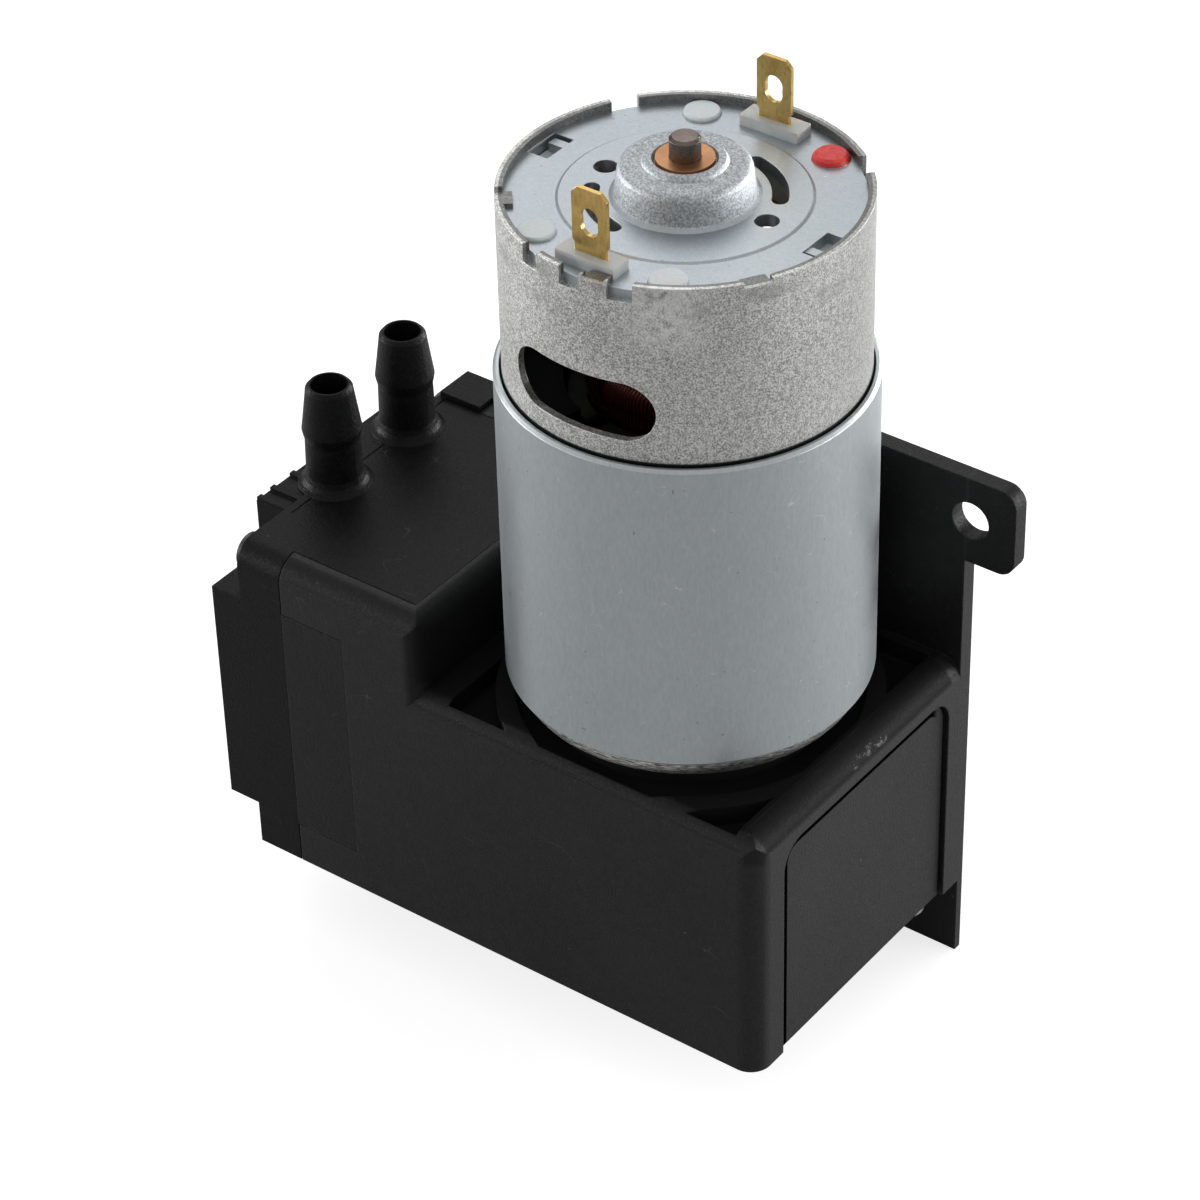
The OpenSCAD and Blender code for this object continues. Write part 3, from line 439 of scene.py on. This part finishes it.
# Painted shadow: the line is darkened in colour and covered by a dull black sheet.
seam_shadow = panel_seam_shadow(cover_black, SEAM_INWARD, SEAM_WIDTH)
cover_black.wear(colour=cover_black.blend(seam_shadow, cover_colour, SEAM_SHADOW_BLACK))
cover_black.cover(seam_shadow, cover_black.node("ShaderNodeBsdfDiffuse", {}, {"Color": SEAM_SHADOW_BLACK}))
print("end panel's top at", round(panel_top, 2), "mm, its wall at x", round(face_x, 2))

# %% [markdown]
# The end wall is painted paler than the front, as painted light on the side that
# faces the lamps, and its top edge has a white scuff. The deck round the motor and
# the top edges get painted shade: a skin without any shine covers them, and a Mix
# Shader takes the share. All masks are products of soft steps along x, y and z.

# %% Painted light on the end wall, scuff and painted shade
NEAR_BLACK = (0.010, 0.010, 0.0103)
case_x, case_y, case_z = case_black.axis_values()
# Painted light: the end wall is paler than the front.
lit_end_wall = case_x.fade(face_x - 0.25, face_x - 0.05) * (case_x - face_x).fade(0.3, 0.1)
scuff_line = abs(case_z - 30.3).fade(0.7, 0.1) * abs(case_y + 19.0).fade(3.6, 2.6)
scuff_line = scuff_line * case_x.fade(face_x - 2.2, face_x - 1.4)
scuff = scuff_line * case_black.grain(1.6, 3.0, 0.7).fade(0.52, 0.60)
case_tone = case_black.blend(lit_end_wall, case_colour, (0.017, 0.017, 0.0173))
case_tone = case_black.blend(scuff * 0.7, case_tone, (0.22, 0.22, 0.22))
case_black.wear(colour=case_tone)
# Painted shade: the deck round the motor, the head's right side and the top edges get a dull near black skin.
between = case_y.fade(-38.9, -37.9) * case_y.fade(-3.3, -3.8)
deck = case_z.fade(40.0, 38.0) * case_z.fade(20.0, 21.0) * case_x.fade(-23.0, -22.0) * case_x.fade(18.7, 18.3)
top_round = case_z.fade(29.0, 29.8) * case_z.fade(32.4, 31.9) * case_x.fade(18.3, 18.7) * (1 - scuff) * 0.8
head_side = case_x.fade(-24.2, -22.4) * case_z.fade(31.4, 33.0) * case_y.fade(-3.3, -3.8) * 0.9
top_edges = case_black.curved() * case_z.fade(28.0, 29.0) * 0.45
shade = (deck.greater(top_round) * between).greater(head_side).greater(top_edges)
case_black.cover(shade, case_black.node("ShaderNodeBsdfDiffuse", {}, {"Color": NEAR_BLACK}))
dress(case_black, "pump_case")
dress(cover_black, "bottom_cover")
dress(head_black, "head_cover")
dress(valve_black, "valve_body")
print("black mouldings dressed")


# %% [markdown]
# ## Zinc on the motor
# Three pressings share one coating and differ in how it took. The can is dull and
# speckled like frost, with fine random scratches. The flux ring was rolled smooth,
# so it is calmer and bluer. The end plate is bright in the pressed corners. Each
# is the same sum with other numbers: a fine speckle in colour and roughness, a slow
# cloud, hairlines that shine, a few dark pits, painted glints as bright points in
# the colour, and sharp edges painted near white, partly bare worn metal and partly
# a painted highlight.

# %% Zinc coatings
def zinc(name, dull, clean, rough, speckle, per_mm, scratch, stretch=(1.0, 1.0, 1.0)):
    """A coated pressing; returns the finish with its tone and its fine grain, for local wear and painted
    light.
    """
    finish = Finish(name, dull, rough, 1.0)
    fine = finish.grain(per_mm, 2.0, 0.7, stretch)
    coarse = finish.grain(per_mm * 0.33, 2.0, 0.5, stretch)
    cloud = finish.grain(0.07, 2.0)
    lines = finish.hairlines(0.30, 0.007, scratch) + finish.hairlines(0.75, 0.012, scratch * 0.8)
    painted_glints = finish.grain(per_mm * 1.2, 0.0).fade(0.72, 0.82)
    pits = finish.grain(1.7, 0.0).fade(0.84, 0.87)
    tone = 0.5 + speckle * 4.0 * (fine - 0.5) + speckle * (coarse - 0.5) + 0.30 * (cloud - 0.5)
    tone = tone.fade(0.0, 1.0)
    colour = finish.blend(tone, dull, clean)
    # Painted glints: bright points in the colour, along with the scratches that shine.
    colour = finish.blend((lines * 0.55 + painted_glints * speckle * 0.35).fade(0.0, 1.0), colour, (0.90, 0.90, 0.88))
    colour = finish.blend(pits * 0.4, colour, (0.16, 0.16, 0.16))
    # Partly worn bare metal, partly painted highlight: sharp edges get a near white colour.
    colour = finish.blend(finish.edges(0.16) * 0.6, colour, (0.92, 0.92, 0.90))
    height = fine * speckle + coarse * 0.3 * speckle - lines * 0.2
    finish.wear(colour=colour, roughness=rough + 0.30 * (fine - 0.5) * speckle - 0.10 * lines + 0.2 * pits,
                normal=finish.relief(height, 0.03, 0.6, 0.12))
    return finish, colour, fine


can_zinc, can_colour, _ = zinc("can_zinc", (0.30, 0.30, 0.29), (0.86, 0.86, 0.835),
                               0.45, 0.75, 5.6, 0.56)
ring_zinc, _, _ = zinc("ring_zinc", (0.46, 0.50, 0.515), (0.56, 0.60, 0.615), 0.40, 0.30, 3.4, 0.42,
                       (1.0, 1.0, 0.3))
plate_zinc, plate_colour, plate_fine = zinc("plate_zinc", (0.42, 0.46, 0.49), (0.54, 0.58, 0.61),
                                            0.46, 0.40, 4.4, 0.36)

# %% [markdown]
# Where the tools touched, the coating changed. The can's foot was rolled over, so it
# is burnished in dark and bright streaks that run round it. Below its rim lie a
# smear and a painted highlight, a pale patch, and the inside of the rim gets painted
# shade. One side of the can is darker, which is painted shade, and above the flux
# ring a thin dark line is the gap's painted shadow. The boss of the end plate was
# drawn deep, so its zinc broke into a sparkle. Each mask reads the place in
# millimetres, and the later blend lies over the earlier one.

# %% Wear, painted shade and painted highlight on the can
can_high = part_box("motor_can")[1]
can_top = can_high.z / MM
can_radius = can_high.x / MM
ring_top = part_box("flux_ring")[1].z / MM
can_x, can_y, can_height = can_zinc.axis_values()
aside = right.x * can_x + right.y * (can_y - motor_axis.y)
from_axis = can_zinc.radius()
inner_wall_shade = from_axis.fade(can_radius - 0.35, can_radius - 0.45) * can_height.fade(plate_top - 0.5, plate_top)
gap_shade = can_height.fade(ring_top + 0.40, ring_top + 0.20)
foot = can_height.fade(36.4, 35.6)
streaks = can_zinc.grain(3.0, 3.0, 0.7, (0.35, 0.35, 3.0)).fade(0.36, 0.66)
smear = can_height.fade(86.5, 89.0) * can_zinc.grain(0.16, 3.0, 0.5, (1.0, 1.0, 2.2)).fade(0.50, 0.66)
rolled = can_zinc.blend(streaks, (0.09, 0.09, 0.09), (0.80, 0.79, 0.76))
can_tone = can_zinc.blend(foot, can_zinc.blend(smear * 0.55, can_colour, (0.34, 0.34, 0.34)), rolled)
# Painted shade: the can darkens towards its side on the camera's right.
shaded_side = aside.fade(7.0, can_radius) * 0.45
can_tone = can_zinc.blend(shaded_side * (1 - foot), can_tone, (0.20, 0.20, 0.195))
# Painted highlight: a pale patch below the rim, a little left of the middle as the camera sees the can.
painted_highlight = abs(aside + 2.0).fade(6.0, 1.0) * can_height.fade(84.5, 88.0)
painted_highlight = painted_highlight * can_zinc.grain(1.2, 3.0).fade(0.3, 0.6)
can_tone = can_zinc.blend(painted_highlight * 0.55, can_tone, (0.95, 0.95, 0.93))
# Painted shade: the inside of the can's rim is darkened.
can_tone = can_zinc.blend(inner_wall_shade * 0.7, can_tone, (0.10, 0.10, 0.10))
# Painted shadow: a thin dark line on the can just above the flux ring.
can_zinc.wear(colour=can_zinc.blend(gap_shade * (1 - foot) * 0.95, can_tone, (0.02, 0.02, 0.02)))

# %% Sparkle on the boss
_, _, plate_height = plate_zinc.axis_values()
boss = plate_zinc.radius().fade(7.6, 7.0) * plate_height.fade(plate_top + 0.3, plate_top + 0.7)
sparkle = plate_zinc.grain(4.5, 3.0, 0.75).fade(0.35, 0.65)
frosted = plate_zinc.blend(sparkle, (0.28, 0.30, 0.32), (0.80, 0.82, 0.84))
plate_zinc.wear(colour=plate_zinc.blend(boss * 0.75, plate_colour, frosted),
                roughness=0.44 + 0.2 * boss + 0.2 * (plate_fine - 0.5))
dress(can_zinc, "motor_can")
dress(ring_zinc, "flux_ring")
dress(plate_zinc, "end_plate")
print("zinc parts dressed")

# %% [markdown]
# ## Small metal parts
# Turned, stamped and ground parts have one tool mark each. Rings round the axis
# suit what was turned, straight lines what was rolled, and a plain fine speckle what
# was cast or plated. One recipe takes the mark's stretch, so that a line runs the
# way the tool did.

# %% Metals
def metal(name, base, tint, rough, mark=(1.0, 1.0, 1.0), per_mm=3.0, depth=0.012, stain=0.5):
    finish = Finish(name, base, rough, 1.0)
    marks = finish.grain(per_mm, 3.0, 0.6, mark)
    stains = finish.grain(0.35, 3.0, 0.6)
    tone = (0.55 * marks + stain * (stains - 0.5) + 0.22).fade(0.1, 0.9)
    finish.wear(colour=finish.blend(tone, tint, base),
                roughness=rough + 0.22 * (marks - 0.5) + 0.15 * (stains - 0.5),
                normal=finish.relief(marks, depth, 0.6, 0.06))
    return finish


bright_screws = metal("bright_zinc_screws", (0.72, 0.73, 0.74), (0.5, 0.51, 0.53), 0.28)
ground_steel = metal("ground_steel", (0.66, 0.67, 0.68), (0.5, 0.5, 0.51), 0.24, (1.0, 1.0, 6.0))
shaft_steel = metal("oxidised_shaft", (0.24, 0.205, 0.185), (0.10, 0.075, 0.064), 0.26,
                    (1.0, 1.0, 7.0), 2.4, 0.02, 0.9)
spring_steel = metal("spring_steel", (0.30, 0.30, 0.31), (0.2, 0.2, 0.21), 0.36)
black_steel = metal("black_oxide_steel", (0.10, 0.10, 0.105), (0.06, 0.06, 0.062), 0.40)
ferrite = metal("ferrite", (0.022, 0.022, 0.024), (0.014, 0.014, 0.015), 0.66)
laminated = metal("laminated_steel", (0.30, 0.31, 0.32), (0.12, 0.125, 0.13), 0.42,
                  (0.05, 0.05, 4.0), 2.0, 0.03)
bronze = metal("sintered_bronze", (0.62, 0.33, 0.17), (0.36, 0.17, 0.085), 0.38,
               per_mm=4.5, depth=0.02, stain=0.9)
brass = metal("stamped_brass", (0.80, 0.58, 0.22), (0.50, 0.31, 0.09), 0.30,
              (1.0, 1.0, 0.25), 2.6, 0.014, 1.0)
turned_brass = metal("turned_brass", (0.78, 0.60, 0.30), (0.6, 0.44, 0.2), 0.28, (1.0, 1.0, 5.0))
dress(bright_screws, "bottom_cover_screws", "motor_screws", "diaphragm_screw", "diaphragm_retainer")
dress(ground_steel, "bearing_outer_race", "bearing_inner_race", "bearing_balls")
dress(shaft_steel, "shaft")
dress(spring_steel, "bearing_clip", "magnet_springs")
dress(black_steel, "eccentric_set_screw", "head_screws")
dress(ferrite, "magnets")
dress(laminated, "armature_core")
dress(bronze, "front_bush", "rear_bush")
dress(brass, "terminals", "brush_arms", "bearing_cage")
dress(turned_brass, "eccentric")

# %% [markdown]
# ## Enamelled wire
# Behind the can's window lie the windings: red-brown enamelled copper, laid in
# turns. Modelling each turn would cost thousands of faces that nobody sees, so a
# wave across the bundle carries the turns in its bump and paints shade into the gaps.

# %% Windings and commutator
wire = Finish("enamelled_wire", (0.12, 0.02, 0.012), 0.30, 0.6)
wire_turns = wire.node("ShaderNodeTexWave", {"wave_type": "RINGS", "rings_direction": "Z"},
                       {"Vector": wire.place((1.0, 1.0, 0.3)), "Scale": 1.1, "Distortion": 2.2, "Detail": 2.0,
                        "Detail Scale": 0.6}).out("Fac")
# Painted shade: the colour darkens in the gaps between the turns.
wire.wear(colour=wire.blend(wire_turns, (0.010, 0.003, 0.002), (0.16, 0.022, 0.012)),
          roughness=0.22 + 0.2 * (1 - wire_turns), normal=wire.relief(wire_turns, 0.15, 0.8))
dress(wire, "windings")

segments = Finish("commutator_copper", (0.72, 0.40, 0.24), 0.3, 1.0)
swept = segments.grain(2.0, 3.0, 0.6, (0.3, 0.3, 8.0))
segments.wear(colour=segments.blend(swept, (0.35, 0.17, 0.10), (0.80, 0.46, 0.28)),
              roughness=0.22 + 0.25 * swept, normal=segments.relief(swept, 0.01, 0.5))
dress(segments, "commutator")

# %% [markdown]
# ## Nylon, rubber and the rest
# The inner plastics and rubbers are hardly seen, so one short recipe serves them all:
# two tones in soft lumps, a fine tooth in the roughness and a slight relief.

# %% Plastics and rubber
def soft_part(name, dark, light, rough, depth=0.02, per_mm=1.4, **constants):
    finish = Finish(name, dark, rough, 0.0, **constants)
    lumps = finish.grain(per_mm, 3.0, 0.6)
    fine = finish.grain(per_mm * 5, 2.0)
    finish.wear(colour=finish.blend(lumps.fade(0.3, 0.7), dark, light), roughness=rough + 0.2 * (fine - 0.5),
                normal=finish.relief(lumps + fine * 0.3, depth, 0.7, 0.10))
    return finish


red_dot = soft_part("red_dot", (0.78, 0.030, 0.024), (0.93, 0.075, 0.06), 0.40, 0.10, 2.0)
acetal = soft_part("acetal", (0.66, 0.64, 0.57), (0.74, 0.72, 0.65), 0.42)
fibre = soft_part("hard_fibre", (0.55, 0.40, 0.14), (0.66, 0.5, 0.2), 0.5)
slot_fibre = soft_part("slot_fibre", (0.010, 0.014, 0.010), (0.016, 0.022, 0.015), 0.55)
rubber = soft_part("moulded_rubber", (0.012, 0.012, 0.012), (0.02, 0.02, 0.02), 0.62)
silicone = soft_part("red_silicone", (0.24, 0.025, 0.012), (0.34, 0.04, 0.02), 0.45)
carbon = soft_part("brush_carbon", (0.02, 0.02, 0.021), (0.045, 0.045, 0.046), 0.55, 0.03, 3.0)
dress(red_dot, "polarity_mark")
dress(acetal, "connecting_rod")
dress(fibre, "shaft_washers")
dress(slot_fibre, "slot_insulators")
dress(rubber, "diaphragm", "head_gasket")
dress(silicone, "inlet_valve", "outlet_valve")
dress(carbon, "brushes")
print("plastics and rubbers dressed")

# %% [markdown]
# The brush holder is natural nylon. Light goes a little way in, so its edges look
# soft: subsurface scattering does that, where plain white would look like chalk.
# Its four staked heads were crushed hot, whiter and rougher than the blocks, and one
# of them carries the red paint that marks the polarity.

# %% Nylon brush holder
nylon = Finish("natural_nylon", (0.50, 0.53, 0.52), 0.36, 0.0,
               **{"Subsurface Weight": 0.35, "Subsurface Scale": 0.0015})
nylon_x, _, nylon_height = nylon.axis_values()
flow = nylon.grain(0.8, 3.0, 0.6)
crushed = abs(nylon_x).fade(5.0, 5.6) * nylon_height.fade(plate_top + 0.1, plate_top + 0.3)
tool_mark = nylon.grain(2.6, 3.0, 0.6)
nylon_colour = nylon.blend(flow.fade(0.3, 0.7) * 0.6, (0.50, 0.53, 0.52), (0.64, 0.665, 0.655))
dot_low, dot_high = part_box("polarity_mark")
dot_middle = (dot_low + dot_high) / 2 / MM
dot_x, dot_y, _ = nylon.axis_values()
dot_x = dot_x - dot_middle.x
dot_y = dot_y - dot_middle.y
painted = ((dot_x * dot_x + dot_y * dot_y) ** 0.5).fade(3.0, 2.9)
painted = painted * nylon_height.fade(plate_top + 0.05, plate_top + 0.1)
stake_white = nylon.blend(tool_mark, (0.76, 0.77, 0.78), (0.92, 0.93, 0.94))
nylon_tone = nylon.blend(painted, nylon.blend(crushed, nylon_colour, stake_white), (0.80, 0.04, 0.035))
nylon.wear(colour=nylon_tone, roughness=0.34 + 0.2 * crushed + 0.1 * (flow - 0.5),
           normal=nylon.relief(tool_mark * crushed + flow * 0.3, 0.10, 0.7, 0.16))
dress(nylon, "brush_holder")

# %% [markdown]
# Every node should now carry a grain. A list of the bare ones is quicker to read
# than a picture, and an empty list is what we want.

# %% Nodes without grain
bare = [name for name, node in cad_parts.items() if not any(
    slot.material and slot.material.use_nodes and slot.material.node_tree.nodes.get("Noise Texture")
    for slot in node.material_slots)]
print("bare nodes:", bare)
